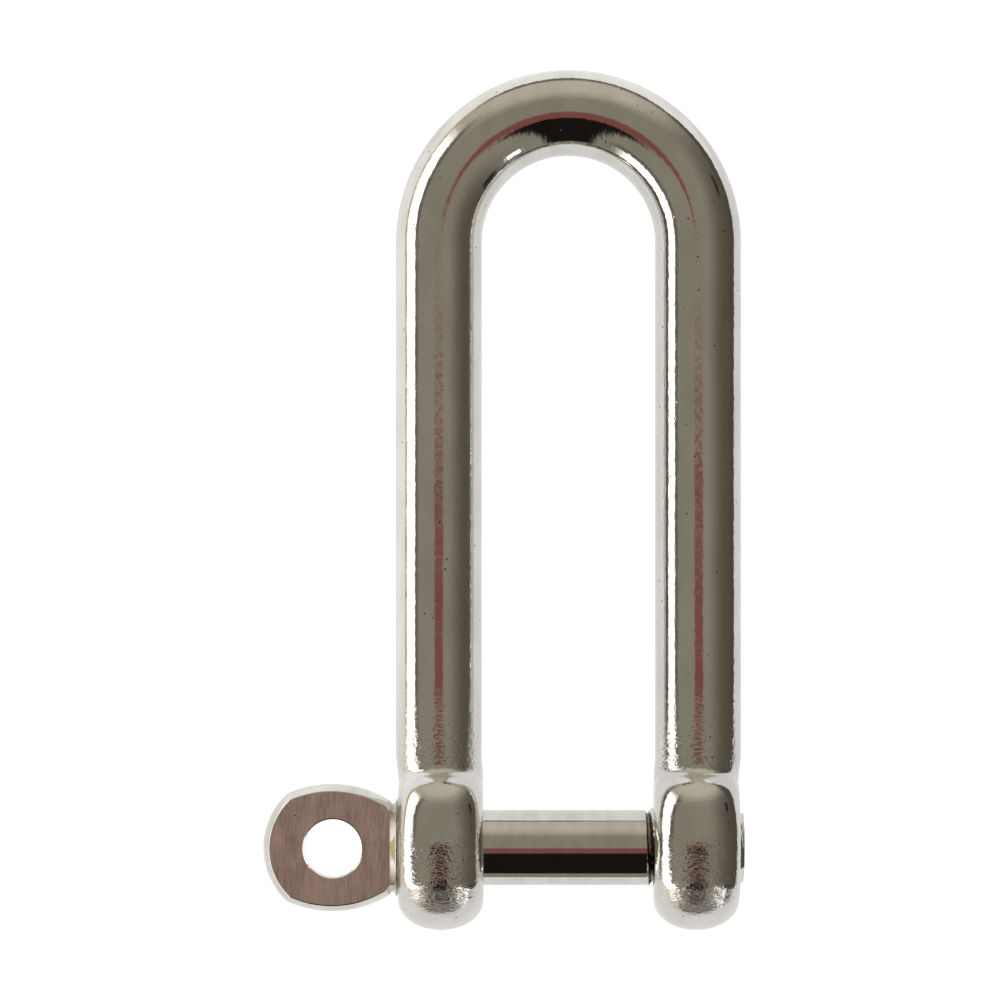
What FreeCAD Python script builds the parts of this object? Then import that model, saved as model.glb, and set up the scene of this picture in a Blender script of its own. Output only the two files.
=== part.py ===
"""Long dee shackle, 8 mm bar: a forged bow with two eyes, and an eye-headed screw pin.

Millimetres. The shackle lies on its side, as it does on a bench: +X runs along the pin
towards its threaded tip, +Y runs up the legs to the crown, and +Z is up off the bench.
The origin is on the pin's axis, half-way between the two eyes.
"""
import FreeCAD, Part
import math
import os

Vector = FreeCAD.Vector

# --- bow: one round bar bent to a D, with an eye forged at each end ---
bar_diameter = 8.0
inside_width = 16.0            # between the legs
inside_length = 64.0           # from the pin's axis to the inside of the crown
eye_wall = 3.5                 # metal between the plain eye's hole and its edge
eye_rim_depth = 2.7            # how far the eye's rounded rim reaches in from its edge
eye_flattening = 0.05          # how much thinner than the bar the eye is pressed
eye_proud_inside = 0.15        # how far the eye's inner face stands in from the leg's side
neck_fillet = 1.0              # in the crease where a leg runs into its eye
face_end_setback = 1.2         # how far short of the eye's edge its outer face stops
face_end_ramp = 1.0            # length of the slope from there out to the leg's side

# --- screw pin: forged in one with a flat eye for a head ---
shank_diameter = 7.0
thread_diameter = 7.9          # over the crests of the 8 mm coarse thread
thread_showing = 0.45          # thread that shows inside the tapped eye, with the pin home
tip_proud = 0.4                # how far the tip shows past the outside of the tapped eye
tip_chamfer = 0.8
collar_lip = 0.6               # how far the collar reaches past the plain eye's hole
collar_lip_thickness = 0.25
collar_step = 0.35             # how far the collar's outer part is smaller, on the radius
collar_thickness = 0.65
head_length = 11.8             # from the collar to the outer end of the flat eye
head_width = 11.8
head_root_width = 8.7          # where the flat eye meets the collar
head_corner_width = 10.0       # where the long edges meet the rounded end
head_corner_setback = 2.2      # how far those corners lie in from the outer end
head_thickness = 4.0
head_edge_radius = 0.6
lanyard_hole_diameter = 5.4
lanyard_hole_setback = 6.5     # from the outer end to the middle of the hole

# --- clearances, each on the radius or across one gap ---
clearance_hole_play = 0.2      # the plain eye, over the thread that passes through it
tapped_hole_play = 0.08        # the tapped eye at its root diameter, over the crests
collar_seat_gap = 0.03         # between the collar and the plain eye, with the pin home
bore_chamfer = 0.25

# --- places that follow from those sizes ---
bar_radius = bar_diameter / 2
leg_offset = inside_width / 2 + bar_radius
bend_height = inside_length - inside_width / 2
shank_radius = shank_diameter / 2
thread_radius = thread_diameter / 2
plain_hole_radius = max(thread_radius, shank_radius) + clearance_hole_play
tapped_hole_radius = thread_radius + tapped_hole_play
eye_radius = plain_hole_radius + eye_wall
eye_thickness = bar_diameter - eye_flattening
eye_inner_face = inside_width / 2 - eye_proud_inside
eye_outer_face = eye_inner_face + eye_thickness
eye_middle = (eye_inner_face + eye_outer_face) / 2
collar_inner = -(eye_outer_face + collar_seat_gap)
collar_outer = collar_inner - collar_thickness
collar_radius = plain_hole_radius + collar_lip
head_end = collar_outer - head_length
thread_start = eye_inner_face - thread_showing
tip_end = eye_outer_face + tip_proud


def bent_bar():
    """The round bar: two straight legs, joined by half a ring for the crown."""
    section = Part.Face(Part.Wire([
        Part.Circle(Vector(-leg_offset, bend_height, 0), Vector(0, 1, 0),
                    bar_radius).toShape()]))
    crown = section.revolve(Vector(0, bend_height, 0), Vector(0, 0, 1), -180)
    legs = [Part.makeCylinder(bar_radius, bend_height, Vector(x, 0, 0), Vector(0, 1, 0))
            for x in (-leg_offset, leg_offset)]
    return crown.fuse(legs)


def turned(profile):
    """A solid of revolution about the pin's axis from (x, radius) corners."""
    corners = [Vector(x, radius, 0) for x, radius in profile]
    outline = Part.makePolygon(corners + corners[:1])
    return Part.Face(outline).revolve(Vector(0, 0, 0), Vector(1, 0, 0), 360)


def forged_eye(middle):
    """A disc on the pin's axis, flat on both faces, with a half-ellipse for a rim."""
    ellipse = Part.Ellipse(Vector(middle, eye_radius - eye_rim_depth, 0),
                           eye_thickness / 2, eye_rim_depth)
    rim = Part.ArcOfEllipse(ellipse, 0, math.pi).toShape()
    first = rim.Vertexes[0].Point
    last = rim.Vertexes[-1].Point
    section = Part.Wire([
        rim,
        Part.makeLine(last, Vector(last.x, 0, 0)),
        Part.makeLine(Vector(last.x, 0, 0), Vector(first.x, 0, 0)),
        Part.makeLine(Vector(first.x, 0, 0), first),
    ])
    return Part.Face(section).revolve(Vector(middle, 0, 0), Vector(1, 0, 0), 360)


def neck_creases(shape):
    """The edges where a leg's round side meets the rim of its eye."""
    creases = []
    for edge in shape.Edges:
        box = edge.BoundBox
        on_rim = eye_radius - eye_rim_depth - 0.5 < box.YMin and box.YMax < eye_radius
        if on_rim and box.ZLength > 1 and box.XLength > 1:
            creases.append(edge)
    return creases


def beside_outer_face(side):
    """The leg's metal outside an eye's flat outer face, with a slope at its upper end."""
    leg_side = leg_offset + bar_radius
    ramp_foot = eye_radius - face_end_setback
    ramp_slope = face_end_ramp / (leg_side - eye_outer_face)
    clear_of_leg = leg_side + bar_radius
    below_eye = -eye_radius - bar_radius
    corners = [
        Vector(side * eye_outer_face, below_eye, -eye_radius),
        Vector(side * eye_outer_face, ramp_foot, -eye_radius),
        Vector(side * clear_of_leg,
               ramp_foot + ramp_slope * (clear_of_leg - eye_outer_face), -eye_radius),
        Vector(side * clear_of_leg, below_eye, -eye_radius),
    ]
    outline = Part.makePolygon(corners + corners[:1])
    return Part.Face(outline).extrude(Vector(0, 0, 2 * eye_radius))


def chamfered_hole(radius, side):
    """A hole along the pin's axis through one eye, with both its mouths broken."""
    wide = radius + bore_chamfer
    past = 1.0
    inner = eye_inner_face
    outer = eye_outer_face
    return turned([
        (side * (inner - past), 0),
        (side * (inner - past), wide),
        (side * inner, wide),
        (side * (inner + bore_chamfer), radius),
        (side * (outer - bore_chamfer), radius),
        (side * outer, wide),
        (side * (outer + past), wide),
        (side * (outer + past), 0),
    ])


def make_bow():
    bow = bent_bar().fuse([forged_eye(-eye_middle), forged_eye(eye_middle)])
    bow = bow.makeFillet(neck_fillet, neck_creases(bow))
    bow = bow.cut([beside_outer_face(-1), beside_outer_face(1)])
    bow = bow.cut([chamfered_hole(plain_hole_radius, -1),
                   chamfered_hole(tapped_hole_radius, 1)])
    return bow.Solids[0]


def flat_eye():
    """The pin's head: two bulging long edges closed by a round outer end."""
    under_side = -head_thickness / 2
    corner_x = head_end + head_corner_setback
    widest_x = (corner_x + collar_outer) / 2
    root = Vector(collar_outer, head_root_width / 2, under_side)
    widest = Vector(widest_x, head_width / 2, under_side)
    corner = Vector(corner_x, head_corner_width / 2, under_side)
    end = Vector(head_end, 0, under_side)

    def mirrored(point):
        return Vector(point.x, -point.y, point.z)

    outline = Part.Wire([
        Part.Arc(root, widest, corner).toShape(),
        Part.Arc(corner, end, mirrored(corner)).toShape(),
        Part.Arc(mirrored(corner), mirrored(widest), mirrored(root)).toShape(),
        Part.makeLine(mirrored(root), root),
    ])
    plate = Part.Face(outline).extrude(Vector(0, 0, head_thickness))
    rims = []
    for edge in plate.Edges:
        box = edge.BoundBox
        on_a_face = box.ZLength < 0.001
        at_root = box.XMin > collar_outer - 0.001
        if on_a_face and not at_root:
            rims.append(edge)
    plate = plate.makeFillet(head_edge_radius, rims)
    hole = Part.makeCylinder(lanyard_hole_diameter / 2, 2 * head_thickness,
                             Vector(head_end + lanyard_hole_setback, 0, -head_thickness))
    return plate.cut(hole)


def make_screw_pin():
    runout = abs(thread_radius - shank_radius)
    lip_outer = collar_inner - collar_lip_thickness
    round_part = turned([
        (collar_outer, 0),
        (collar_outer, collar_radius - collar_step),
        (lip_outer, collar_radius - collar_step),
        (lip_outer, collar_radius),
        (collar_inner, collar_radius),
        (collar_inner, shank_radius),
        (thread_start, shank_radius),
        (thread_start + runout, thread_radius),
        (tip_end - tip_chamfer, thread_radius),
        (tip_end, thread_radius - tip_chamfer),
        (tip_end, 0),
    ])
    return flat_eye().fuse(round_part).Solids[0]


os.makedirs("parts", exist_ok=True)
pieces = {"bow": make_bow(), "screw_pin": make_screw_pin()}
for name, shape in pieces.items():
    shape.exportStep(f"parts/{name}.step")
    box = shape.optimalBoundingBox(False)
    print(name, "valid", shape.isValid(), "volume", round(shape.Volume, 1),
          "X", round(box.XMin, 2), round(box.XMax, 2),
          "Y", round(box.YMin, 2), round(box.YMax, 2),
          "Z", round(box.ZMin, 2), round(box.ZMax, 2))
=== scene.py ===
"""Long dee shackle in polished stainless steel: a bent and forged bow, and its screw pin.

It lies flat: +X along the pin towards the threaded tip, +Y up the legs to the crown
and +Z up off the bench. Lengths are in metres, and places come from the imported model.
"""
import math

import bmesh
import bpy
import numpy as np
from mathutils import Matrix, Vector, noise


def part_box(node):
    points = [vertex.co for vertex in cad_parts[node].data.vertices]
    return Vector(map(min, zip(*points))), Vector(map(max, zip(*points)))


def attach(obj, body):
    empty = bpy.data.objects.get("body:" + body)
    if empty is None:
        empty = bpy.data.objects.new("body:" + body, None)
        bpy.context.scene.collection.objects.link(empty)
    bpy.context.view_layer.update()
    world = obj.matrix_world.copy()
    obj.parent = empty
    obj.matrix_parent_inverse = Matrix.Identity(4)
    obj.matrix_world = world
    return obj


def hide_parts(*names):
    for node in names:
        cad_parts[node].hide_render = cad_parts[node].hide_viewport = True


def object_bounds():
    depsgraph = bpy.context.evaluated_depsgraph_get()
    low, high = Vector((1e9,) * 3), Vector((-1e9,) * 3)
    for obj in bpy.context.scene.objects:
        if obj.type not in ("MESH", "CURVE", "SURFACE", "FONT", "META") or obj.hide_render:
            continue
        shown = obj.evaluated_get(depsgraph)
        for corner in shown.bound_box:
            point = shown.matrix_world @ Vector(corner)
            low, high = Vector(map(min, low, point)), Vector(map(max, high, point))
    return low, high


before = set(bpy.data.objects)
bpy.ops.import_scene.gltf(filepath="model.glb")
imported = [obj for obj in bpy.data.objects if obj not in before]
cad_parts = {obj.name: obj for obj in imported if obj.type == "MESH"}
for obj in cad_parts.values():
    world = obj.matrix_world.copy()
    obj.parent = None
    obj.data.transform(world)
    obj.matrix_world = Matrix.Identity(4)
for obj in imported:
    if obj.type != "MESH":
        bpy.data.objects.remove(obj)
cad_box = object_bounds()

# ---------------------------------------------------------------- bow: the bent bar
# The bow is one length of round stainless bar, 8 mm thick, bent cold round a former into a
# long D. The two legs stay straight, and both ends run on past where the eyes are forged.

bow_low, bow_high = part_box("bow")
bar_radius = 0.004
leg_side = bow_high.x                     # outside of a leg
leg_offset = leg_side - bar_radius
eye_radius = -bow_low.y
bend_height = bow_high.y - bar_radius - leg_offset
rings_along_bar = 560
points_round_bar = 112


def new_tree(name, inputs):
    """An empty geometry tree with a mesh socket at each end and the named size inputs."""
    tree = bpy.data.node_groups.new(name, "GeometryNodeTree")
    tree.interface.new_socket("Geometry", in_out="INPUT", socket_type="NodeSocketGeometry")
    kinds = {float: "NodeSocketFloat", int: "NodeSocketInt",
             bpy.types.Material: "NodeSocketMaterial"}
    for label, kind in inputs.items():
        tree.interface.new_socket(label, in_out="INPUT", socket_type=kinds[kind])
    tree.interface.new_socket("Geometry", in_out="OUTPUT", socket_type="NodeSocketGeometry")
    return tree


def sum_node(tree, operation, first, second=None, third=None):
    """One Math node; each term is a socket or a plain number."""
    node = tree.nodes.new("ShaderNodeMath")
    node.operation = operation
    for slot, term in enumerate((first, second, third)):
        if term is None:
            continue
        if isinstance(term, (int, float)):
            node.inputs[slot].default_value = term
        else:
            tree.links.new(term, node.inputs[slot])
    return node.outputs[0]


def smooth_range(tree, value, start, end, at_start=0.0, at_end=1.0):
    """A number that turns smoothly from one value at start to another at end."""
    node = tree.nodes.new("ShaderNodeMapRange")
    node.interpolation_type = "SMOOTHSTEP"
    tree.links.new(value, node.inputs["Value"])
    for label, number in (("From Min", start), ("From Max", end),
                          ("To Min", at_start), ("To Max", at_end)):
        node.inputs[label].default_value = number
    return node.outputs[0]


def end_tree(tree, shape, steel):
    """The shape's instances are made real, and it is given its steel."""
    realize = tree.nodes.new("GeometryNodeRealizeInstances")
    tree.links.new(shape, realize.inputs[0])
    finished = tree.nodes.new("GeometryNodeSetMaterial")
    tree.links.new(realize.outputs[0], finished.inputs["Geometry"])
    tree.links.new(steel, finished.inputs["Material"])
    out = tree.nodes.new("NodeGroupOutput")
    tree.links.new(finished.outputs[0], out.inputs[0])


def keep_result(obj, modifier):
    """The modifier's result becomes the object's own mesh, and the modifier is taken off."""
    depsgraph = bpy.context.evaluated_depsgraph_get()
    made = bpy.data.meshes.new_from_object(obj.evaluated_get(depsgraph))
    obj.modifiers.remove(modifier)
    obj.data = made


def run_tree(obj, tree, values):
    """Runs the tree on the object, with a value for each of its named inputs."""
    modifier = obj.modifiers.new(tree.name, "NODES")
    modifier.node_group = tree
    for item in tree.interface.items_tree:
        if item.in_out == "INPUT" and item.name in values:
            modifier[item.identifier] = values[item.name]
    keep_result(obj, modifier)


def bent_bar_tree():
    """A straight line of rings is laid along leg, crown and leg, and given a round section."""
    tree = new_tree("bent_bar", {"Leg Offset": float, "Bend Height": float,
                                 "End Depth": float, "Bar Radius": float,
                                 "Rings": int, "Points Round": int,
                                 "Steel": bpy.types.Material})
    sizes = tree.nodes.new("NodeGroupInput").outputs
    leg = sum_node(tree, "ADD", sizes["Bend Height"], sizes["End Depth"])
    arc = sum_node(tree, "MULTIPLY", sizes["Leg Offset"], math.pi)
    total = sum_node(tree, "MULTIPLY_ADD", leg, 2.0, arc)
    tip = tree.nodes.new("ShaderNodeCombineXYZ")
    tree.links.new(total, tip.inputs[0])
    line = tree.nodes.new("GeometryNodeCurvePrimitiveLine")
    tree.links.new(tip.outputs[0], line.inputs["End"])
    resample = tree.nodes.new("GeometryNodeResampleCurve")
    tree.links.new(line.outputs[0], resample.inputs["Curve"])
    tree.links.new(sizes["Rings"], resample.inputs["Count"])
    where = tree.nodes.new("GeometryNodeInputPosition")
    split = tree.nodes.new("ShaderNodeSeparateXYZ")
    tree.links.new(where.outputs[0], split.inputs[0])
    along = split.outputs[0]
    turned = sum_node(tree, "DIVIDE", sum_node(tree, "SUBTRACT", along, leg),
                      sizes["Leg Offset"])
    angle = sum_node(tree, "MINIMUM", sum_node(tree, "MAXIMUM", turned, 0.0), math.pi)
    back = sum_node(tree, "SUBTRACT", total, along)
    straight = sum_node(tree, "MINIMUM", sum_node(tree, "MINIMUM", along, back), leg)
    side = sum_node(tree, "MULTIPLY", sum_node(tree, "COSINE", angle), sizes["Leg Offset"])
    rise = sum_node(tree, "MULTIPLY", sum_node(tree, "SINE", angle), sizes["Leg Offset"])
    place = tree.nodes.new("ShaderNodeCombineXYZ")
    tree.links.new(sum_node(tree, "MULTIPLY", side, -1.0), place.inputs[0])
    height = sum_node(tree, "SUBTRACT", sum_node(tree, "ADD", straight, rise),
                      sizes["End Depth"])
    tree.links.new(height, place.inputs[1])
    bend = tree.nodes.new("GeometryNodeSetPosition")
    tree.links.new(resample.outputs[0], bend.inputs["Geometry"])
    tree.links.new(place.outputs[0], bend.inputs["Position"])
    section = tree.nodes.new("GeometryNodeCurvePrimitiveCircle")
    tree.links.new(sizes["Points Round"], section.inputs["Resolution"])
    tree.links.new(sizes["Bar Radius"], section.inputs["Radius"])
    sweep = tree.nodes.new("GeometryNodeCurveToMesh")
    tree.links.new(bend.outputs[0], sweep.inputs["Curve"])
    tree.links.new(section.outputs[0], sweep.inputs["Profile Curve"])
    end_tree(tree, sweep.outputs[0], sizes["Steel"])
    return tree


class SteelFinish:
    """Builds one polished or ground steel, its marks laid out on the piece's own axes."""

    def __init__(self, name):
        self.material = bpy.data.materials.new(name)
        self.material.use_nodes = True
        self.tree = self.material.node_tree
        self.shader = self.tree.nodes["Principled BSDF"]
        self.shader.inputs["Metallic"].default_value = 1.0
        self.place = self.tree.nodes.new("ShaderNodeTexCoord").outputs["Object"]
        self.heights = None

    def grain(self, marks_per_metre, detail=2.0, roughness=0.5, distortion=0.0):
        """Noise with its own count of marks along X, Y and Z."""
        stretch = self.tree.nodes.new("ShaderNodeVectorMath")
        stretch.operation = "MULTIPLY"
        stretch.inputs[1].default_value = marks_per_metre
        self.tree.links.new(self.place, stretch.inputs[0])
        node = self.tree.nodes.new("ShaderNodeTexNoise")
        node.inputs["Scale"].default_value = 1.0
        node.inputs["Detail"].default_value = detail
        node.inputs["Roughness"].default_value = roughness
        node.inputs["Distortion"].default_value = distortion
        self.tree.links.new(stretch.outputs[0], node.inputs["Vector"])
        return node.outputs[0]

    def pits(self, marks_per_metre, share, reach):
        """One in a few cells has a round pit, 1 at its middle and 0 past its reach."""
        cells = self.tree.nodes.new("ShaderNodeTexVoronoi")
        cells.inputs["Scale"].default_value = marks_per_metre
        self.tree.links.new(self.place, cells.inputs["Vector"])
        pit = self.ramp(cells.outputs["Distance"], reach, reach * 0.3, 0, 1)
        chance = self.tree.nodes.new("ShaderNodeSeparateXYZ")
        self.tree.links.new(cells.outputs["Color"], chance.inputs[0])
        picked = sum_node(self.tree, "LESS_THAN", chance.outputs[0], share)
        return self.times(pit, picked)

    def axis(self, index):
        split = self.tree.nodes.new("ShaderNodeSeparateXYZ")
        self.tree.links.new(self.place, split.inputs[0])
        return split.outputs[index]

    def ramp(self, value, start, end, at_start, at_end):
        return smooth_range(self.tree, value, start, end, at_start, at_end)

    def band(self, value, start, full, fading, end):
        """1 between full and fading, and 0 outside start and end."""
        return self.times(self.ramp(value, start, full, 0, 1),
                          self.ramp(value, fading, end, 1, 0))

    def times(self, first, second):
        return sum_node(self.tree, "MULTIPLY", first, second)

    def largest(self, first, *others):
        for other in others:
            first = sum_node(self.tree, "MAXIMUM", first, other)
        return first

    def add_height(self, value, depth):
        """Adds a relief of the given depth in metres."""
        layer = self.times(value, depth)
        if self.heights is not None:
            layer = sum_node(self.tree, "ADD", self.heights, layer)
        self.heights = layer

    def finish(self, light, dark, mix, roughness):
        colour = self.tree.nodes.new("ShaderNodeMix")
        colour.data_type = "RGBA"
        colour.inputs[6].default_value = (*light, 1)
        colour.inputs[7].default_value = (*dark, 1)
        self.tree.links.new(mix, colour.inputs[0])
        self.tree.links.new(colour.outputs[2], self.shader.inputs["Base Color"])
        self.tree.links.new(roughness, self.shader.inputs["Roughness"])
        bump = self.tree.nodes.new("ShaderNodeBump")
        bump.inputs["Strength"].default_value = 1.0
        bump.inputs["Distance"].default_value = 1.0
        self.tree.links.new(self.heights, bump.inputs["Height"])
        self.tree.links.new(bump.outputs[0], self.shader.inputs["Normal"])
        return self.material


polished_light = (0.70, 0.685, 0.655)
polished_dark = (0.14, 0.13, 0.12)
struck_middle = 0.0118         # middle, along the pin, of the dies' mark on each eye


def polished_bow_steel():
    """Barrel-polished stainless: bright, a little wavy, pitted here and there, and with
    the dies' grain still showing round the neck and on the middle of each eye."""
    steel = SteelFinish("polished_bow_steel")
    height_up = steel.axis(1)
    off_middle = sum_node(steel.tree, "ABSOLUTE",
                          sum_node(steel.tree, "SUBTRACT",
                                   sum_node(steel.tree, "ABSOLUTE", steel.axis(0)),
                                   struck_middle))
    in_crease = steel.band(height_up, 0.0061, 0.0069, 0.0078, 0.0096)
    leg_grain = steel.band(height_up, 0.0068, 0.0076, 0.0085, 0.0165)
    eye_grain = steel.times(steel.ramp(off_middle, 0.0013, 0.0026, 1, 0.45),
                            steel.times(steel.ramp(height_up, 0.0006, 0.0020, 1, 0.22),
                                        steel.ramp(height_up, -0.0056, -0.0044, 0.3, 1)))
    struck = steel.times(eye_grain, steel.ramp(height_up, 0.0055, 0.0065, 1, 0))
    under_land = steel.times(steel.ramp(height_up, -0.0031, -0.0038, 0, 1), struck)
    grained = steel.largest(steel.times(leg_grain, 0.8), struck)
    die_grain = steel.grain((2300, 3900, 2300), detail=2.0, distortion=0.5)
    scale_marks = steel.grain((5600, 5600, 5600), detail=3.0, roughness=0.65)
    pits = steel.pits(650, 0.9, 0.09)
    steel.add_height(steel.grain((150, 80, 150), detail=1.0), 0.00005)
    steel.add_height(steel.grain((2800, 1400, 2800), detail=3.0), 0.000009)
    steel.add_height(steel.times(die_grain, grained), 0.000075)
    steel.add_height(steel.times(scale_marks, in_crease), 0.00001)
    steel.add_height(pits, -0.000012)
    worn = steel.ramp(steel.grain((450, 160, 450), detail=4.0), 0.3, 0.7, 0, 0.14)
    specks = steel.times(steel.ramp(scale_marks, 0.5, 0.72, 0, 0.6),
                         steel.largest(grained, 0.25))
    dull = sum_node(steel.tree, "ADD",
                    steel.ramp(steel.grain((700, 260, 700), detail=3.0), 0.3, 0.7, 0.04, 0.1),
                    sum_node(steel.tree, "ADD", steel.times(under_land, 0.1),
                             steel.times(struck, 0.1)))
    return steel.finish(polished_light, polished_dark, steel.largest(worn, pits, specks), dull)


bow_steel = polished_bow_steel()

bow = bpy.data.objects.new("forged_bow", bpy.data.meshes.new("forged_bow"))
bpy.context.scene.collection.objects.link(bow)
run_tree(bow, bent_bar_tree(), {
    "Leg Offset": leg_offset, "Bend Height": bend_height, "End Depth": eye_radius,
    "Bar Radius": bar_radius, "Rings": rings_along_bar,
    "Points Round": points_round_bar, "Steel": bow_steel})

# ---------------------------------------------------------------- bow: the forged eyes
# Each end of the bar is struck hot between dies into a round eye, flat on both faces and
# rounded at the rim, and as thick as the bar. The crease above it is left by the dies.

eye_inner_face = 0.00785
eye_outer_face = 0.0158
eye_half = (eye_outer_face - eye_inner_face) / 2
eye_middle = (eye_outer_face + eye_inner_face) / 2
eye_rim_depth = 0.0027
neck_low = 0.0062              # here the leg has taken the eye's thickness
neck_high = 0.0087             # and above here it is plain bar
bar_end = 0.0052               # the bar's own shape ends here, inside the eye
neck_swell = 0.0007            # the rim stands prouder where the leg runs in
swell_start = 0.002
crease_fillet = 0.0008         # radius left by the die between leg and rim
land_start = 0.0009            # a nearly flat land, on top and underneath, starts above the pin
land_full = -0.0001
land_end = -0.0030             # and is full as far as this, towards the eye's end
land_height = 0.0076           # of the land where it starts
land_slope = 0.11              # how much it falls towards the eye's end
land_edge = 0.0009             # over which it turns back into the rim's round
hammer_depth = 0.00005         # of the shallow unevenness that polishing leaves
hammer_size = 0.0028
hammered_full = 0.0065         # the unevenness fades out up the leg, from here
hammered_end = 0.011
hammer_fade = 0.002            # and inwards, closer than this to the bar's own middle
tiny = 1e-9                    # added to a length, so that it can be divided by
halvings = 40                  # of the search for the forged surface


def smooth_step(value, low, high):
    share = np.clip((value - low) / (high - low), 0, 1)
    return share * share * (3 - 2 * share)


def outside_forging(x, y, z):
    """Roughly how far a point is outside one end of the bow; x counts outwards."""
    straight = smooth_step(y, neck_low, neck_high)
    axis = eye_middle + straight * (leg_offset - eye_middle)
    radius = eye_half + straight * (bar_radius - eye_half)
    off_axis = np.hypot(x - axis, z) + tiny
    from_bar = np.maximum(off_axis - radius, bar_end - y)
    across = (x - eye_middle) / eye_half
    from_pin = np.hypot(y, z) + tiny
    on_land = smooth_step(y, land_end - land_edge, land_end)
    on_land *= 1 - smooth_step(y, land_full, land_start)
    land_rise = np.hypot(y, land_height + land_slope * (y - land_start)) - eye_radius
    rim_start = (eye_radius - eye_rim_depth + on_land * land_rise
                 + neck_swell * smooth_step(y, swell_start, neck_low))
    rim = np.maximum(from_pin - rim_start, 0) / eye_rim_depth
    size = np.hypot(across, rim) + tiny
    slope = np.hypot(across / eye_half, rim / eye_rim_depth) / size + tiny
    from_eye = (size - 1) / slope
    eye_normal_x = across / eye_half / (size * slope)
    eye_normal_z = rim / eye_rim_depth / (size * slope) * z / from_pin
    alike = (x - axis) / off_axis * eye_normal_x + z / off_axis * eye_normal_z
    width = crease_fillet * np.clip(1 - alike, 1e-6, 1)
    near = np.maximum(width - np.abs(from_bar - from_eye), 0)
    return np.minimum(from_bar, from_eye) - near * near / width / 4


def forge_eyes(mesh):
    """Moves the rings below the neck out or in to the forged shape, each in its own plane."""
    points = np.array([vertex.co for vertex in mesh.vertices])
    side = np.sign(points[:, 0])
    x, y, z = points[:, 0] * side, points[:, 1], points[:, 2]
    turn = np.arctan2(z, x - leg_offset)
    below_pin = y < 0
    y = np.where(below_pin, -eye_radius * np.sin(math.pi / 2 * -y / eye_radius), y)
    straight = smooth_step(y, neck_low, neck_high)
    centre = eye_middle + straight * (leg_offset - eye_middle)
    shortest = np.zeros_like(y)
    longest = np.full_like(y, 2 * eye_radius)
    for _ in range(halvings):
        reach = (shortest + longest) / 2
        outside = outside_forging(centre + reach * np.cos(turn), y,
                                  reach * np.sin(turn)) > 0
        longest = np.where(outside, reach, longest)
        shortest = np.where(outside, shortest, reach)
    forged = y < neck_high + crease_fillet
    forged_x = side * (centre + reach * np.cos(turn))
    forged_z = reach * np.sin(turn)
    points[forged, 0] = forged_x[forged]
    points[forged, 1] = y[forged]
    points[forged, 2] = forged_z[forged]
    struck = 1 - smooth_step(y, hammered_full, hammered_end)
    for i in np.nonzero(struck > 0)[0]:
        place = Vector(points[i]) / hammer_size
        depth = hammer_depth * struck[i] * (noise.noise(place) - 1) / 2
        depth *= min(1, reach[i] / hammer_fade)
        points[i, 0] += side[i] * math.cos(turn[i]) * depth
        points[i, 2] += math.sin(turn[i]) * depth
    mesh.vertices.foreach_set("co", points.ravel())


def closed_mesh(obj):
    """Merges the points that meet, points the faces outwards and shades them smooth."""
    work = bmesh.new()
    work.from_mesh(obj.data)
    bmesh.ops.remove_doubles(work, verts=work.verts, dist=1e-7)
    bmesh.ops.recalc_face_normals(work, faces=work.faces)
    work.to_mesh(obj.data)
    work.free()
    obj.data.shade_smooth()


forge_eyes(bow.data)
closed_mesh(bow)

# ---------------------------------------------------------------- bow: the two holes
# The eye beside the pin's head is drilled clear of the thread. The other is tapped with the
# 8 mm coarse right-hand thread, and each mouth is lightly countersunk.

thread_pitch = 0.00125
thread_phase = 0.0003125       # slides the helix along the pin
plain_hole_radius = 0.00415
mouth_width = 0.00025
tap_crest_radius = 0.00403
tap_root_radius = 0.00342
tap_lead = 0.002               # the tap is cutting full threads before it meets the eye
tap_run_in = 0.0001
root_share = 0.22              # this share of each half pitch is the flat of the root
crest_share = 0.88             # and from this share on is the flat of the crest
core_share = 0.5               # points nearer the axis than this share of the root stay put
thread_rows = 150
points_round_hole = 160
sharp_edge = math.radians(30)


def turned_mesh(name, profile, points_round, materials):
    """A closed solid of revolution about X from (x, radius) rows, with a point at each end."""
    angles = np.arange(points_round) * 2 * math.pi / points_round
    rows = [(x, radius * np.cos(a), radius * np.sin(a))
            for x, radius in profile for a in angles]
    faces = []
    for row in range(len(profile) - 1):
        for i in range(points_round):
            j = (i + 1) % points_round
            first = row * points_round
            faces.append((first + i, first + j, first + points_round + j,
                          first + points_round + i))
    first_end = len(rows)
    rows.append((profile[0][0], 0, 0))
    rows.append((profile[-1][0], 0, 0))
    last = (len(profile) - 1) * points_round
    for i in range(points_round):
        j = (i + 1) % points_round
        faces.append((j, i, first_end))
        faces.append((last + i, last + j, first_end + 1))
    mesh = bpy.data.meshes.new(name)
    mesh.from_pydata(rows, [], faces)
    for material in materials:
        mesh.materials.append(material)
    obj = bpy.data.objects.new(name, mesh)
    bpy.context.scene.collection.objects.link(obj)
    closed_mesh(obj)
    return obj


def from_axis(tree, y, z):
    """How far a point is from the pin's axis."""
    return sum_node(tree, "SQRT", sum_node(tree, "ADD", sum_node(tree, "POWER", y, 2.0),
                                           sum_node(tree, "POWER", z, 2.0)))


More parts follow.
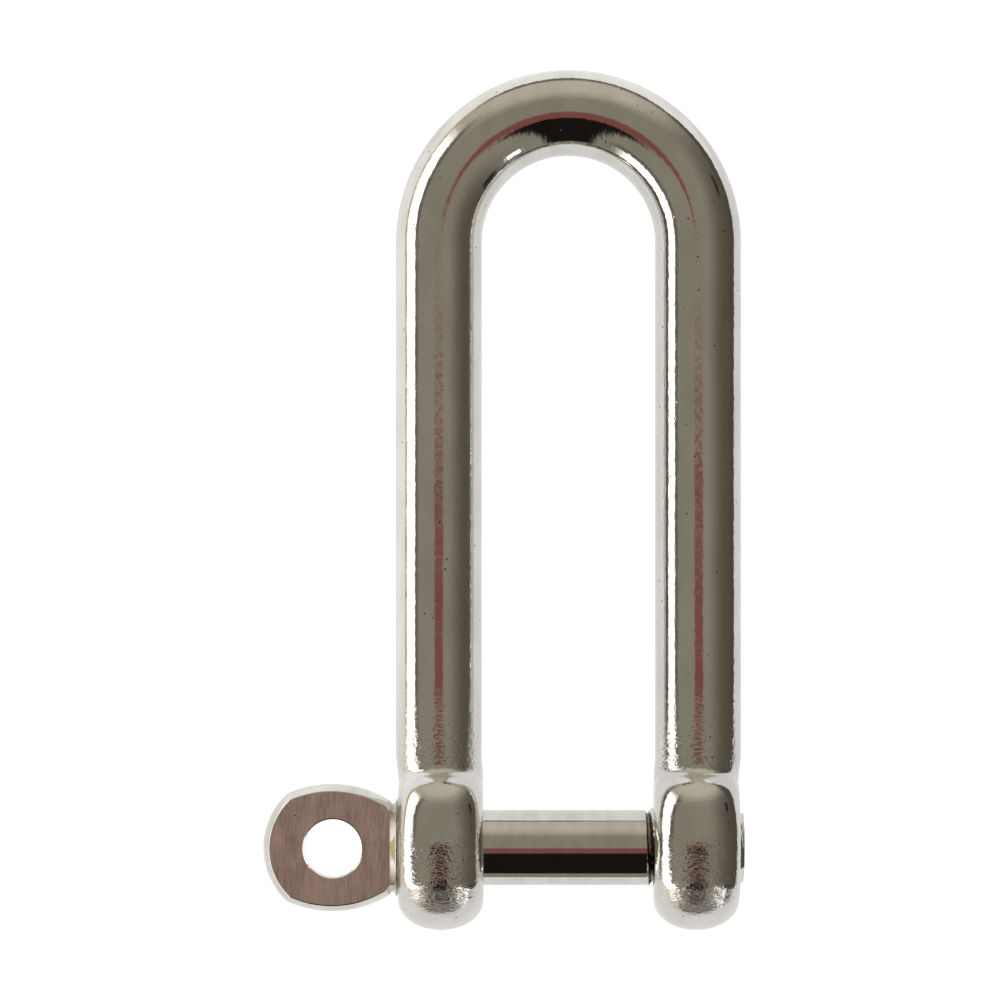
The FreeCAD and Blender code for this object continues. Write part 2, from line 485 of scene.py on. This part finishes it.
def thread_tree():
    """Rolls or taps a right-hand V thread along X into a round solid, root to crest."""
    tree = new_tree("screw_thread", {"Pitch": float, "Phase": float, "Root Radius": float,
                                     "Crest Radius": float, "Blank Radius": float,
                                     "Start": float, "Run In": float, "Inside": float,
                                     "Steel": bpy.types.Material})
    given = tree.nodes.new("NodeGroupInput").outputs
    where = tree.nodes.new("GeometryNodeInputPosition")
    split = tree.nodes.new("ShaderNodeSeparateXYZ")
    tree.links.new(where.outputs[0], split.inputs[0])
    x, y, z = split.outputs
    angle = sum_node(tree, "ARCTAN2", z, y)
    along = sum_node(tree, "DIVIDE", sum_node(tree, "SUBTRACT", x, given["Phase"]),
                     given["Pitch"])
    turns = sum_node(tree, "SUBTRACT", along,
                     sum_node(tree, "DIVIDE", angle, 2 * math.pi))
    saw = sum_node(tree, "FRACT", turns)
    ramp = sum_node(tree, "MULTIPLY",
                    sum_node(tree, "ABSOLUTE", sum_node(tree, "SUBTRACT", saw, 0.5)), 2.0)
    flank = tree.nodes.new("ShaderNodeMapRange")
    tree.links.new(ramp, flank.inputs["Value"])
    flank.inputs["From Min"].default_value = root_share
    flank.inputs["From Max"].default_value = crest_share
    tree.links.new(given["Root Radius"], flank.inputs["To Min"])
    tree.links.new(given["Crest Radius"], flank.inputs["To Max"])
    run_in = tree.nodes.new("ShaderNodeMapRange")
    run_in.interpolation_type = "SMOOTHSTEP"
    tree.links.new(x, run_in.inputs["Value"])
    tree.links.new(given["Start"], run_in.inputs["From Min"])
    tree.links.new(sum_node(tree, "ADD", given["Start"], given["Run In"]),
                   run_in.inputs["From Max"])
    thread = sum_node(tree, "MULTIPLY_ADD",
                      sum_node(tree, "SUBTRACT", flank.outputs[0], given["Blank Radius"]),
                      run_in.outputs[0], given["Blank Radius"])
    turned = from_axis(tree, y, z)
    rolled = sum_node(tree, "MINIMUM", thread, turned)
    tapped = sum_node(tree, "MAXIMUM", thread, turned)
    radius = sum_node(tree, "MULTIPLY_ADD", sum_node(tree, "SUBTRACT", tapped, rolled),
                      given["Inside"], rolled)
    place = tree.nodes.new("ShaderNodeCombineXYZ")
    tree.links.new(x, place.inputs[0])
    tree.links.new(sum_node(tree, "MULTIPLY", radius, sum_node(tree, "COSINE", angle)),
                   place.inputs[1])
    tree.links.new(sum_node(tree, "MULTIPLY", radius, sum_node(tree, "SINE", angle)),
                   place.inputs[2])
    in_thread = tree.nodes.new("FunctionNodeCompare")
    in_thread.operation = "GREATER_THAN"
    tree.links.new(x, in_thread.inputs[0])
    tree.links.new(given["Start"], in_thread.inputs[1])
    off_axis = tree.nodes.new("FunctionNodeCompare")
    off_axis.operation = "GREATER_THAN"
    tree.links.new(turned, off_axis.inputs[0])
    tree.links.new(sum_node(tree, "MULTIPLY", given["Root Radius"], core_share),
                   off_axis.inputs[1])
    both = tree.nodes.new("FunctionNodeBooleanMath")
    tree.links.new(in_thread.outputs[0], both.inputs[0])
    tree.links.new(off_axis.outputs[0], both.inputs[1])
    shape = tree.nodes.new("GeometryNodeSetPosition")
    tree.links.new(given["Geometry"], shape.inputs["Geometry"])
    tree.links.new(both.outputs[0], shape.inputs["Selection"])
    tree.links.new(place.outputs[0], shape.inputs["Position"])
    end_tree(tree, shape.outputs[0], given["Steel"])
    return tree


def cut_away(obj, tool, operation="DIFFERENCE"):
    """Takes the tool's shape out of the object, or joins it on, and drops the tool."""
    modifier = obj.modifiers.new("cut", "BOOLEAN")
    modifier.operation = operation
    modifier.solver = "EXACT"
    modifier.object = tool
    keep_result(obj, modifier)
    bpy.data.objects.remove(tool)


def hole_profile(radius, start, end, rows):
    """A drill with a countersink at both mouths, run past both faces of the eye."""
    past = 0.001
    wide = radius + mouth_width
    body = [(x, radius) for x in np.linspace(start + mouth_width, end - mouth_width, rows)]
    return [(start - past, wide), (start, wide)] + body + [(end, wide), (end + past, wide)]


drill = turned_mesh("drill", hole_profile(plain_hole_radius, -eye_outer_face,
                                          -eye_inner_face, 2),
                    points_round_hole, [bow_steel])
cut_away(bow, drill)
tap = turned_mesh("tap", hole_profile(tap_root_radius, eye_inner_face, eye_outer_face,
                                      thread_rows),
                  points_round_hole, [bow_steel])
screw_thread = thread_tree()
run_tree(tap, screw_thread, {
    "Pitch": thread_pitch, "Phase": thread_phase, "Root Radius": tap_root_radius,
    "Crest Radius": tap_crest_radius, "Blank Radius": tap_root_radius,
    "Start": eye_inner_face - tap_lead, "Run In": tap_run_in, "Inside": 1.0,
    "Steel": bow_steel})
cut_away(bow, tap)
bow.data.set_sharp_from_angle(angle=sharp_edge)
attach(bow, "bow")
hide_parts("bow")

# ---------------------------------------------------------------- screw pin: the turned part
# The pin is forged from bar in one with its head, then turned: a thin collar that seats on
# the plain eye, a polished shank, and a thread rolled on the end, with a chamfered tip.

pin_low, pin_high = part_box("screw_pin")
shank_radius = 0.0035
crest_radius = 0.00395
root_radius = 0.0032
thread_start = 0.0072
tip_end = pin_high.x
tip_chamfer = 0.0008
collar_seat = -0.01583
collar_back = -0.01648
collar_back_radius = 0.0039    # the back of the collar is a cone, rising to its lip
collar_lip = -0.016
collar_lip_radius = 0.0046
collar_seat_radius = 0.00445
collar_lip_step = 0.0002
run_out_length = 0.0013        # over which the crests rise out of the shank
first_groove = 0.0069          # the rolled grooves start a little before them
groove_run_in = 0.0004
edge_round = 0.00006
lip_edge_round = 0.00001
lip_edge_width = 0.00002
seat_fillet = 0.0003
end_ring_radius = 0.001        # of the inner ring of points on each flat end
shank_rows = 40
tip_rows = 30
points_round_pin = 144


def polished_pin_steel():
    """Turned, then polished: faint rings round the axis, a few fine pits, and darker colour
    at the bottom of the thread's grooves."""
    steel = SteelFinish("polished_pin_steel")
    rings = steel.grain((5200, 260, 260), detail=3.0, roughness=0.6)
    pits = steel.pits(420, 0.10, 0.05)
    steel.add_height(rings, 0.0000012)
    steel.add_height(steel.grain((240, 240, 240), detail=1.0), 0.000015)
    steel.add_height(pits, -0.00002)
    worn = steel.ramp(steel.grain((900, 400, 400), detail=4.0), 0.3, 0.7, 0, 0.14)
    off_axis = from_axis(steel.tree, steel.axis(1), steel.axis(2))
    threaded = steel.band(steel.axis(0), 0.0068, 0.0072, 0.0157, 0.0159)
    # the colour turns darker towards the bottom of the thread's grooves
    groove_bottom_dark = steel.times(threaded, steel.ramp(off_axis, 0.0033, 0.00355, 0.9, 0))
    dull = steel.ramp(rings, 0.3, 0.7, 0.04, 0.11)
    return steel.finish(polished_light, polished_dark, steel.largest(groove_bottom_dark, worn, pits), dull)


def ground_face_steel():
    """Faces off the belt: fine straight strokes across the head, with dark specks."""
    steel = SteelFinish("ground_head_face")
    strokes = steel.grain((5200, 520, 600), detail=4.0, roughness=0.7, distortion=0.4)
    broad = steel.grain((700, 220, 300), detail=3.0)
    pits = steel.pits(900, 0.35, 0.13)
    steel.add_height(strokes, 0.000018)
    steel.add_height(broad, 0.000006)
    steel.add_height(pits, -0.00002)
    shade = sum_node(steel.tree, "ADD", steel.ramp(strokes, 0.38, 0.66, 0, 0.34),
                     steel.ramp(broad, 0.38, 0.62, 0, 0.2))
    # The pale warm pink of the faces is partly the ground steel's own tone and partly a painted
    # reflection of the red-brown strap.
    return steel.finish((1.0, 0.9, 0.84), (0.22, 0.17, 0.145),
                        steel.largest(shade, pits),
                        steel.ramp(strokes, 0.3, 0.7, 0.28, 0.4))


pin_steel = polished_pin_steel()
ground_steel = ground_face_steel()


def rounded(before, corner, after, radius, steps=5):
    """Points of a small arc in place of a corner between two straight runs."""
    before, corner, after = (np.array(p) for p in (before, corner, after))
    back = (before - corner) / np.linalg.norm(before - corner)
    on = (after - corner) / np.linalg.norm(after - corner)
    half_angle = math.acos(np.clip(back @ on, -1, 1)) / 2
    reach = radius / math.tan(half_angle)
    middle = corner + (back + on) / np.linalg.norm(back + on) * radius / math.sin(half_angle)
    first = corner + back * reach - middle
    last = corner + on * reach - middle
    sweep = math.pi - 2 * half_angle
    arc = []
    for share in np.linspace(0, 1, steps):
        mix = (math.sin((1 - share) * sweep) * first + math.sin(share * sweep) * last)
        arc.append(tuple(middle + mix / math.sin(sweep)))
    return arc


def pin_profile():
    """(x, radius) rows from the back of the collar along the shank and thread to the tip."""
    corners = [(collar_back, end_ring_radius, 0),
               (collar_back, collar_back_radius, edge_round),
               (collar_lip, collar_lip_radius - collar_lip_step, lip_edge_round),
               (collar_lip + lip_edge_width, collar_lip_radius, lip_edge_round),
               (collar_seat, collar_seat_radius, edge_round),
               (collar_seat, shank_radius, seat_fillet), (thread_start, shank_radius, 0)]
    rows = [corners[0][:2]]
    for before, here, after in zip(corners, corners[1:], corners[2:]):
        rows += rounded(before[:2], here[:2], after[:2], here[2])
    rows += [(x, shank_radius) for x in np.linspace(rows[-1][0], first_groove,
                                                    shank_rows)[1:]]
    for x in np.linspace(first_groove, tip_end, thread_rows + tip_rows)[1:]:
        risen = min(1, max(0, x - thread_start) / run_out_length)
        envelope = shank_radius + (crest_radius - shank_radius) * risen
        rows.append((x, min(envelope, crest_radius - tip_chamfer + tip_end - x)))
    rows.append((tip_end, end_ring_radius))
    return rows


pin = turned_mesh("eye_head_pin", pin_profile(), points_round_pin, [pin_steel, ground_steel])
run_tree(pin, screw_thread, {
    "Pitch": thread_pitch, "Phase": thread_phase, "Root Radius": root_radius,
    "Crest Radius": crest_radius, "Blank Radius": crest_radius, "Start": first_groove,
    "Run In": groove_run_in, "Inside": 0.0, "Steel": pin_steel})

# ---------------------------------------------------------------- screw pin: the flat eye
# The head is the end of the same bar, struck flat and trimmed to a rounded outline. Its two
# faces are ground, its rim is left barrelled, and one hole is drilled through it.

head_end = pin_low.x
head_root = collar_back
head_root_half_width = 0.00435
head_tang_end = -0.0159        # the head runs on inside the collar to here
head_tang_half_width = 0.0035
head_half_thickness = 0.002
head_half_width = 0.0059
corner_half_width = 0.005
corner_setback = 0.0022
hole_radius = 0.0027
hole_setback = 0.0065
hole_edge_break = 0.0001
rim_barrel_radius = 0.0035
face_edge_round = 0.00014
face_margin = 0.00004          # one row of points on the flat, this far in from the edge
outline_steps = 60
tang_points = 12
edge_points = 6
barrel_points = 11
rows_across = 9


def arc_through(first, middle, last, steps):
    """Points along the circle through three points, in order, both ends included."""
    (ax, ay), (bx, by), (cx, cy) = first, middle, last
    d = 2 * (ax * (by - cy) + bx * (cy - ay) + cx * (ay - by))
    ux = ((ax**2 + ay**2) * (by - cy) + (bx**2 + by**2) * (cy - ay)
          + (cx**2 + cy**2) * (ay - by)) / d
    uy = ((ax**2 + ay**2) * (cx - bx) + (bx**2 + by**2) * (ax - cx)
          + (cx**2 + cy**2) * (bx - ax)) / d
    radius = math.hypot(ax - ux, ay - uy)
    start = math.atan2(ay - uy, ax - ux)
    through = (math.atan2(by - uy, bx - ux) - start) % (2 * math.pi)
    sweep = (math.atan2(cy - uy, cx - ux) - start) % (2 * math.pi)
    if through > sweep:
        sweep -= 2 * math.pi
    return [(ux + radius * math.cos(start + sweep * i / steps),
             uy + radius * math.sin(start + sweep * i / steps)) for i in range(steps + 1)]


def head_outline():
    """Anticlockwise points of the head: lower edge from the outer corner, root, upper edge,
    then round the outer end."""
    corner_x = head_end + corner_setback
    widest_x = (corner_x + head_root) / 2
    lower = arc_through((corner_x, -corner_half_width), (widest_x, -head_half_width),
                        (head_root, -head_root_half_width), outline_steps)
    lower.append((head_tang_end, -head_tang_half_width))
    root = [(head_tang_end, y) for y in np.linspace(-head_tang_half_width,
                                                    head_tang_half_width,
                                                    tang_points)[1:-1]]
    upper = [(x, -y) for x, y in reversed(lower)]
    end = arc_through((corner_x, corner_half_width), (head_end, 0),
                      (corner_x, -corner_half_width), outline_steps)
    return np.array(lower + root + upper + end[1:-1])


def head_section():
    """(inset, z) down one side of the rim from the upper face to the lower one."""
    centre_z = head_half_thickness - face_edge_round
    within = rim_barrel_radius - face_edge_round
    centre_inset = rim_barrel_radius - math.sqrt(within**2 - centre_z**2)
    low_angle = math.asin(centre_z / within)
    edge = [(centre_inset - face_edge_round * math.cos(angle),
             centre_z + face_edge_round * math.sin(angle))
            for angle in np.linspace(math.pi / 2, low_angle, edge_points)]
    barrel = [(rim_barrel_radius - math.sqrt(rim_barrel_radius**2 - z * z), z)
              for z in np.linspace(edge[-1][1], 0, barrel_points)[1:]]
    upper = [(centre_inset + face_margin, head_half_thickness)] + edge + barrel
    return upper + [(inset, -z) for inset, z in reversed(upper[:-1])]


def head_mesh():
    """The head as one closed skin: round its rim, in over both faces and through its hole."""
    outline = head_outline()
    ahead = np.roll(outline, -1, 0) - outline
    behind = outline - np.roll(outline, 1, 0)
    along = (ahead / np.linalg.norm(ahead, axis=1)[:, None]
             + behind / np.linalg.norm(behind, axis=1)[:, None])
    along /= np.linalg.norm(along, axis=1)[:, None]
    inward = np.stack([-along[:, 1], along[:, 0]], 1)
    centre = np.array([head_end + hole_setback, 0])
    towards = outline - centre
    towards /= np.linalg.norm(towards, axis=1)[:, None]
    half = head_half_thickness
    rim = [(outline + inward * inset, z) for inset, z in head_section()]
    lip = centre + towards * (hole_radius + hole_edge_break)
    flat = [(lip + (rim[0][0] - lip) * share, half)
            for share in np.linspace(0, 1, rows_across)[:-1]]
    under = [(points, -half) for points, _ in reversed(flat)]
    bore = [(centre + towards * hole_radius, z)
            for z in np.linspace(-half + hole_edge_break, half - hole_edge_break,
                                 rows_across)]
    loop = flat + rim + under + bore
    count = len(outline)
    rows = [(x, y, z) for points, z in loop for x, y in points]
    faces, ground = [], []
    for r in range(len(loop)):
        s = (r + 1) % len(loop)
        on_face = loop[r][1] == loop[s][1] and abs(loop[r][1]) == half
        for i in range(count):
            j = (i + 1) % count
            faces.append((r * count + i, r * count + j, s * count + j, s * count + i))
            ground.append(on_face)
    mesh = bpy.data.meshes.new("head")
    mesh.from_pydata(rows, [], faces)
    mesh.materials.append(pin_steel)
    mesh.materials.append(ground_steel)
    mesh.polygons.foreach_set("material_index", [int(g) for g in ground])
    obj = bpy.data.objects.new("head", mesh)
    bpy.context.scene.collection.objects.link(obj)
    closed_mesh(obj)
    return obj


cut_away(pin, head_mesh(), "UNION")
pin.data.shade_smooth()
pin.data.set_sharp_from_angle(angle=sharp_edge)
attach(pin, "pin")
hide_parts("screw_pin")

# ---------------------------------------------------------------- studio
# The shackle lies on a small sheet of white card in a dim, warm room that only the steel
# mirrors: the camera sees white past the card. The card is no lamp, but glows with painted
# light, with painted pools of light past the crown and past the left leg. One long soft light
# stands low on its left and a small lamp to the front, and a dark stand and a red-brown strap
# hang over the bench.

card_low = (-0.066, -0.06)
card_high = (0.042, 0.11)
card_z = bow_low.z
card_mesh = bpy.data.meshes.new("white_card")
card_mesh.from_pydata([(card_low[0], card_low[1], card_z), (card_high[0], card_low[1], card_z),
                       (card_high[0], card_high[1], card_z), (card_low[0], card_high[1], card_z)],
                      [], [(0, 1, 2, 3)])
white_card = bpy.data.objects.new("white_card", card_mesh)
bpy.context.scene.collection.objects.link(white_card)
card_white = bpy.data.materials.new("card_white")
card_white.use_nodes = True
card_shader = card_white.node_tree.nodes["Principled BSDF"]
card_shader.inputs["Base Color"].default_value = (0.5, 0.5, 0.5, 1)
card_shader.inputs["Roughness"].default_value = 1.0
card_shader.inputs["Specular IOR Level"].default_value = 0.0
card_shader.inputs["Emission Color"].default_value = (0.985, 1, 1, 1)
card_tree = card_white.node_tree
card_place = card_tree.nodes.new("ShaderNodeSeparateXYZ")
card_tree.links.new(card_tree.nodes.new("ShaderNodeTexCoord").outputs["Object"],
                    card_place.inputs[0])
dim_glow = 0.74                # the card as the steel mirrors it
far_glow = 0.18                # and brighter past the crown and past the left leg
seen_glow = 0.26               # and brighter again for the camera alone, which sees it white
# The card's brightness is painted light of its own: painted pools of light past the crown and
# past the left leg above the eye, dimmer where the steel mirrors it and white to the camera.
past_crown = smooth_range(card_tree, card_place.outputs[1],
                          bow_high.y - 0.001, bow_high.y + 0.007)
past_leg = smooth_range(card_tree, card_place.outputs[0],
                        -leg_side - 0.002, -leg_side - 0.010)
above_eye = smooth_range(card_tree, card_place.outputs[1], 0.008, 0.016)
painted_light_pools = sum_node(card_tree, "MAXIMUM", past_crown,
                      sum_node(card_tree, "MULTIPLY", past_leg, above_eye))
painted_card_light = sum_node(card_tree, "MULTIPLY_ADD", painted_light_pools, far_glow, dim_glow)
card_seen = card_tree.nodes.new("ShaderNodeLightPath").outputs["Is Camera Ray"]
card_glow = sum_node(card_tree, "MULTIPLY_ADD", card_seen, seen_glow, painted_card_light)
card_tree.links.new(card_glow, card_shader.inputs["Emission Strength"])
card_mesh.materials.append(card_white)

room = bpy.data.worlds.new("room")
bpy.context.scene.world = room
room.use_nodes = True
room_tree = room.node_tree
room_light = room_tree.nodes["Background"]
look = room_tree.nodes.new("ShaderNodeTexCoord").outputs["Generated"]
look_split = room_tree.nodes.new("ShaderNodeSeparateXYZ")
room_tree.links.new(look, look_split.inputs[0])
look_x, look_y, look_z = look_split.outputs
level_reach = sum_node(room_tree, "SQRT",
                       sum_node(room_tree, "MAXIMUM",
                                sum_node(room_tree, "SUBTRACT", 1.0,
                                         sum_node(room_tree, "MULTIPLY", look_z, look_z)),
                                1e-6))
elevation = sum_node(room_tree, "MULTIPLY", sum_node(room_tree, "ARCSINE", look_z),
                     180 / math.pi)


def fade(value, start, end):
    """0 before start and 1 past end, or the other way round when start is the larger."""
    return smooth_range(room_tree, value, start, end)


def both(first, second):
    return sum_node(room_tree, "MULTIPLY", first, second)


def painted(under, colour, mask):
    """The room's colour so far, with another laid over it where the mask is 1."""
    node = room_tree.nodes.new("ShaderNodeMix")
    node.data_type = "RGBA"
    if isinstance(under, tuple):
        node.inputs[6].default_value = (*under, 1)
    else:
        room_tree.links.new(under, node.inputs[6])
    node.inputs[7].default_value = (*colour, 1)
    room_tree.links.new(mask, node.inputs[0])
    return node.outputs[2]


def panel(bearing, half_width, low, high, side_blur, edge_blur):
    """A mask for a panel round one compass bearing (0 is +X, 90 is +Y), between two
    elevations; all in degrees."""
    bearing = math.radians(bearing)
    along = sum_node(room_tree, "MULTIPLY_ADD", look_x, math.cos(bearing),
                     both(look_y, math.sin(bearing)))
    off_bearing = both(sum_node(room_tree, "ARCCOSINE",
                                sum_node(room_tree, "DIVIDE", along, level_reach)),
                       180 / math.pi)
    across = fade(off_bearing, half_width + side_blur, half_width - side_blur)
    return both(across, both(fade(elevation, low - edge_blur, low + edge_blur),
                             fade(elevation, high + edge_blur, high - edge_blur)))


warm_wall = (0.312, 0.284, 0.231)
bright_wall = (0.64, 0.585, 0.485)       # beyond the crown
shaded_wall = (0.115, 0.1, 0.075)        # off the threaded end
floor_brown = (0.2, 0.18, 0.15)
bench_side = (0.1, 0.09, 0.075)
strap_red = (0.25, 0.09, 0.077)
stand_black = (0.011, 0.009, 0.008)
room_colour = painted(warm_wall, bright_wall, fade(look_y, 0.52, 0.92))
room_colour = painted(room_colour, shaded_wall, fade(look_x, 0.35, 1.05))
room_colour = painted(room_colour, floor_brown, fade(elevation, -2, -8))
room_colour = painted(room_colour, bench_side, panel(0, 55, -60, -1, 18, 2))
strap = both(both(fade(look_x, -0.22, -0.16), fade(look_x, 0.22, 0.16)),
             both(fade(look_y, -0.33, -0.3), fade(look_y, 0.032, -0.01)))
room_colour = painted(room_colour, strap_red, both(strap, fade(look_z, 0, 0.1)))
stand = both(both(fade(look_x, -0.28, -0.2), fade(look_x, 0.28, 0.2)),
             both(fade(look_y, -0.245, -0.275), fade(elevation, 4, 8)))
room_colour = painted(room_colour, stand_black, stand)
for colour, *place_and_blur in (
        ((0.02, 0.017, 0.015), 23, 4, 7, 14, 1, 1),            # a dark post beyond the tip
        ((0.03, 0.027, 0.02), -36, 6, -2, 13, 2, 1.5),         # another nearer the front
        ((0.17, 0.16, 0.135), 187, 58, 20, 33, 8, 1),          # the soft light's hood
        ((2.6, 2.5, 2.35), 187, 50, -4, 23, 8, 1.5),           # the long soft light
        ((0.72, 0.59, 0.31), 180, 60, -16, -5.5, 8, 0.7),      # its warm glow off the bench
        ((6, 6, 6), -56, 4, 11, 19, 1, 1),                     # the small lamp
        ((4, 4, 4), -56, 4, -9, -3, 1, 1)):                    # and its glint off the bench
    room_colour = painted(room_colour, colour, panel(*place_and_blur))
room_tree.links.new(room_colour, room_light.inputs["Color"])

backdrop = room_tree.nodes.new("ShaderNodeBackground")
backdrop.inputs["Color"].default_value = (1.0, 1.0, 1.0, 1)
seen = room_tree.nodes.new("ShaderNodeMixShader")
room_tree.links.new(room_tree.nodes.new("ShaderNodeLightPath").outputs["Is Camera Ray"],
                    seen.inputs[0])
room_tree.links.new(room_light.outputs[0], seen.inputs[1])
room_tree.links.new(backdrop.outputs[0], seen.inputs[2])
room_tree.links.new(seen.outputs[0], room_tree.nodes["World Output"].inputs["Surface"])
bpy.context.scene.view_settings.view_transform = "Standard"

camera_data = bpy.data.cameras.new("camera")
camera = bpy.data.objects.new("camera", camera_data)
bpy.context.scene.collection.objects.link(camera)
low, high = cad_box
distance = 0.6
frame_width = 0.0926
off_centre = 0.0003            # the camera stands a little to the head's side
camera_data.sensor_width = 36
camera_data.lens = camera_data.sensor_width * distance / frame_width
camera.location = ((low[0] + high[0]) / 2 - off_centre, (low[1] + high[1]) / 2, distance)
bpy.context.scene.camera = camera
